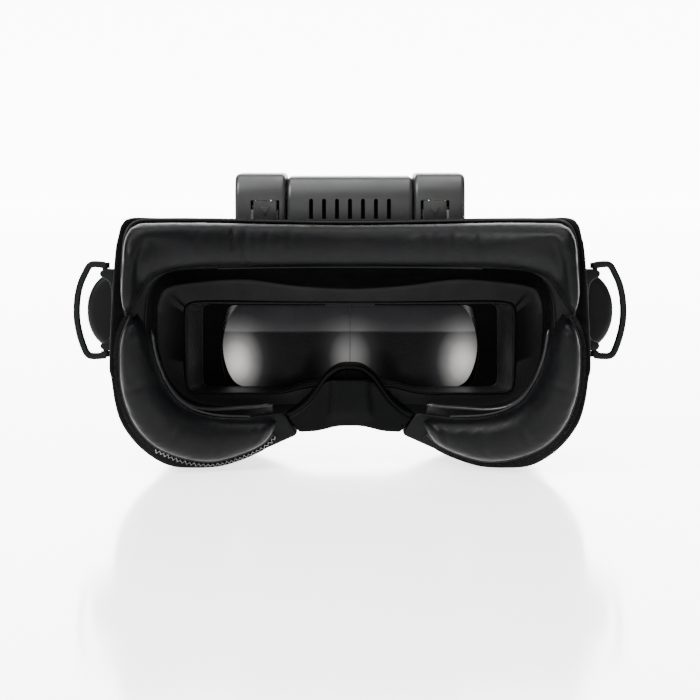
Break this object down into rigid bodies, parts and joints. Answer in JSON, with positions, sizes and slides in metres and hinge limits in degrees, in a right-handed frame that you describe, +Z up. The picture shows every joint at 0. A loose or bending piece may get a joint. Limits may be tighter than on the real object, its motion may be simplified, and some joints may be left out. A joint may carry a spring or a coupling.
{
  "type": "fpv goggles",
  "caption": "Box-style video flying goggles with a wrap-round padded faceplate, lens pair, nose notch, side strap loops and a vented module on top.",
  "frame": {"origin": "centre of the bounding box, on the surface the goggles stand on", "axes": "+X to the wearer's right across the temples, +Y the way the wearer looks, +Z up; the face is at -Y"},
  "size_m": [0.1996, 0.109, 0.1072],
  "materials": {
    "shell_black": "fine-textured moulded plastic",
    "inner_black": "smooth satin moulded plastic",
    "pad_leather": "soft black faux leather with a fine grain",
    "hook_fabric": "hook-and-loop tape",
    "lens_clear": "polished clear lens",
    "rubber_black": "soft black rubber",
    "visor_gloss": "polished black panel",
    "button_black": "satin key cap",
    "screen_dark": "dark display glass",
    "diffuser_white": "milky white",
    "ribbon_amber": "amber film",
    "board_green": "green solder mask",
    "battery_blue": "shrink wrap",
    "steel": "bright steel",
    "brass_gold": "gold-plated brass"
  },
  "bodies": {
    "goggles": {"faceplate": "shell_black", "brow_pad": "pad_leather", "cheek_pad_left": "pad_leather", "cheek_pad_right": "pad_leather", "brow_hook_strip": "hook_fabric", "cheek_hook_strips": "hook_fabric", "eye_shroud": "inner_black", "light_baffle": "inner_black", "lens_left": "lens_clear", "lens_right": "lens_clear", "lens_frame": "inner_black", "nose_bridge": "rubber_black", "upper_shell": "shell_black", "lower_shell": "shell_black", "front_cover": "shell_black", "visor_panel": "visor_gloss", "cover_gasket": "rubber_black", "light_box": "inner_black", "lcd_panel": "screen_dark", "backlight": "diffuser_white", "lcd_bracket": "steel", "display_ribbon": "ribbon_amber", "driver_board": "board_green", "main_board": "board_green", "battery_pack": "battery_blue", "battery_tray": "shell_black", "module_base": "shell_black", "receiver_board_left": "board_green", "receiver_board_right": "board_green", "shield_cans": "steel", "module_connector": "diffuser_white", "antenna_connector_left": "brass_gold", "antenna_connector_right": "brass_gold", "button_board": "board_green", "wheel_axle": "steel", "port_board": "board_green", "av_jack": "inner_black", "power_jack": "inner_black", "hdmi_socket": "steel", "loop_bracket_left": "shell_black", "loop_bracket_right": "shell_black", "front_feet": "rubber_black", "side_pod_left": "shell_black", "side_pod_right": "shell_black", "faceplate_screws": "steel", "cover_screws": "steel", "board_screws": "steel", "module_screws": "steel"},
    "module_lid": {"module_cover": "shell_black", "module_cap_left": "shell_black", "module_cap_right": "shell_black"},
    "latch_left": {"latch_tab_left": "shell_black"},
    "latch_right": {"latch_tab_right": "shell_black"},
    "loop_left": {"strap_loop_left": "shell_black"},
    "loop_right": {"strap_loop_right": "shell_black"},
    "power_key": {"power_button": "button_black"},
    "menu_key": {"menu_button": "button_black"},
    "channel_key": {"channel_button": "button_black"},
    "band_key": {"band_button": "button_black"},
    "wheel": {"menu_wheel": "rubber_black"}
  },
  "joints": [
    {"name": "lid_lift", "type": "slide", "parent": "goggles", "child": "module_lid", "axis": [0, 0, 1], "range_m": [0, 0.022]},
    {"name": "latch_left_press", "type": "hinge", "parent": "module_lid", "child": "latch_left", "pos_m": [-0.03175, 0.0009, 0.0973], "axis": [1, 0, 0], "range_deg": [0, 6], "stiffness_Nm_per_rad": 0.05},
    {"name": "latch_right_press", "type": "hinge", "parent": "module_lid", "child": "latch_right", "pos_m": [0.03175, 0.0009, 0.0973], "axis": [1, 0, 0], "range_deg": [0, 6], "stiffness_Nm_per_rad": 0.05},
    {"name": "loop_left_swing", "type": "hinge", "parent": "goggles", "child": "loop_left", "pos_m": [-0.0887, -0.0295, 0.0586], "axis": [0, 0, -1], "range_deg": [-80, 45]},
    {"name": "loop_right_swing", "type": "hinge", "parent": "goggles", "child": "loop_right", "pos_m": [0.0887, -0.0295, 0.0586], "axis": [0, 0, 1], "range_deg": [-80, 45]},
    {"name": "power_press", "type": "slide", "parent": "goggles", "child": "power_key", "axis": [0, 0, -1], "range_m": [0, 0.0008], "stiffness_N_per_m": 800},
    {"name": "menu_press", "type": "slide", "parent": "goggles", "child": "menu_key", "axis": [0, 0, -1], "range_m": [0, 0.0008], "stiffness_N_per_m": 800},
    {"name": "channel_press", "type": "slide", "parent": "goggles", "child": "channel_key", "axis": [0, 0, -1], "range_m": [0, 0.0008], "stiffness_N_per_m": 800},
    {"name": "band_press", "type": "slide", "parent": "goggles", "child": "band_key", "axis": [0, 0, -1], "range_m": [0, 0.0008], "stiffness_N_per_m": 800},
    {"name": "menu_wheel_turn", "type": "hinge", "parent": "goggles", "child": "wheel", "pos_m": [-0.056, 0.014, 0.0822], "axis": [1, 0, 0], "continuous": true}
  ]
}
